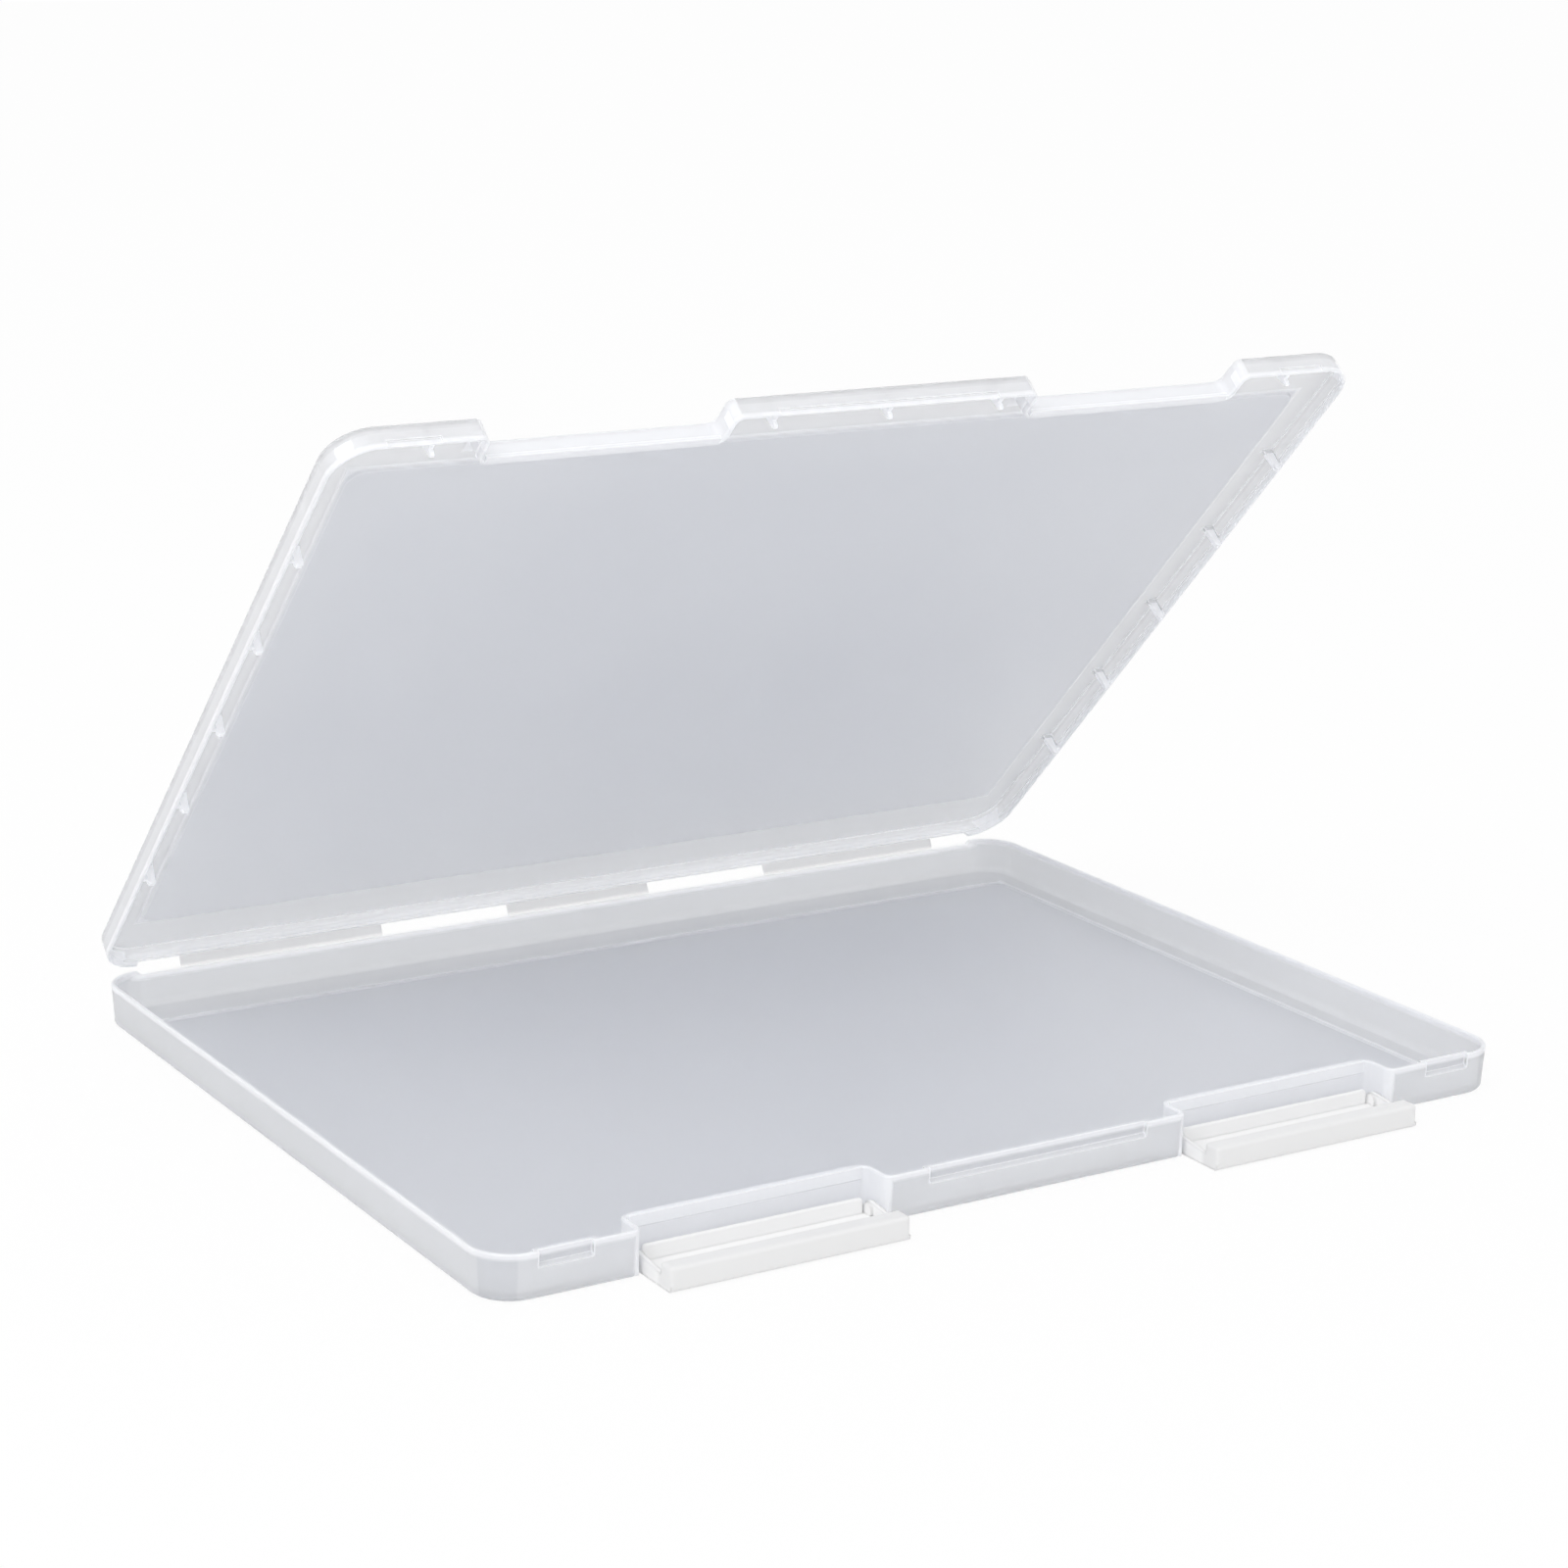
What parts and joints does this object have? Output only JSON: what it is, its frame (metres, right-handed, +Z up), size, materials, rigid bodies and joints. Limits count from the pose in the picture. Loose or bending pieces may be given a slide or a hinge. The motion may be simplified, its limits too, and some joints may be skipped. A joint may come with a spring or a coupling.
{
  "type": "file storage box",
  "caption": "Shallow translucent document case with a hinged lid, flexible hinge webs and swing-up front latches.",
  "frame": {"origin": "middle of the tray's flat underside, which the case rests on", "axes": "+X along the long side, +Y from the latches to the hinge, +Z up"},
  "size_m": [0.332, 0.2755, 0.2056],
  "materials": {
    "frosted_plastic": "frosted translucent polypropylene, fine texture outside",
    "hinge_plastic": "thin translucent polypropylene, polished along the creases",
    "latch_plastic": "opaque soft white polypropylene, satin"
  },
  "bodies": {
    "base": {"base_tray": "frosted_plastic"},
    "hinge": {"hinge_web_left": "hinge_plastic", "hinge_web_middle": "hinge_plastic", "hinge_web_right": "hinge_plastic"},
    "lid": {"lid": "frosted_plastic"},
    "left_latch": {"latch_left": "latch_plastic"},
    "right_latch": {"latch_right": "latch_plastic"}
  },
  "joints": [
    {"name": "lower_crease", "type": "hinge", "parent": "base", "child": "hinge", "pos_m": [0, 0.1294, 0.0114], "axis": [-1, 0, 0], "range_deg": [-23.25, 66.75]},
    {"name": "upper_crease", "type": "hinge", "parent": "hinge", "child": "lid", "pos_m": [0, 0.13126, 0.01572], "axis": [-1, 0, 0], "range_deg": [-23.25, 66.75]},
    {"name": "left_latch_swing", "type": "hinge", "parent": "base", "child": "left_latch", "pos_m": [-0.0861, -0.1241, 0.0027], "axis": [-1, 0, 0], "range_deg": [0, 90]},
    {"name": "right_latch_swing", "type": "hinge", "parent": "base", "child": "right_latch", "pos_m": [0.0861, -0.1241, 0.0027], "axis": [-1, 0, 0], "range_deg": [0, 90]}
  ],
  "couplings": [
    {"joint": "lower_crease", "follows": "upper_crease", "ratio": 1}
  ]
}
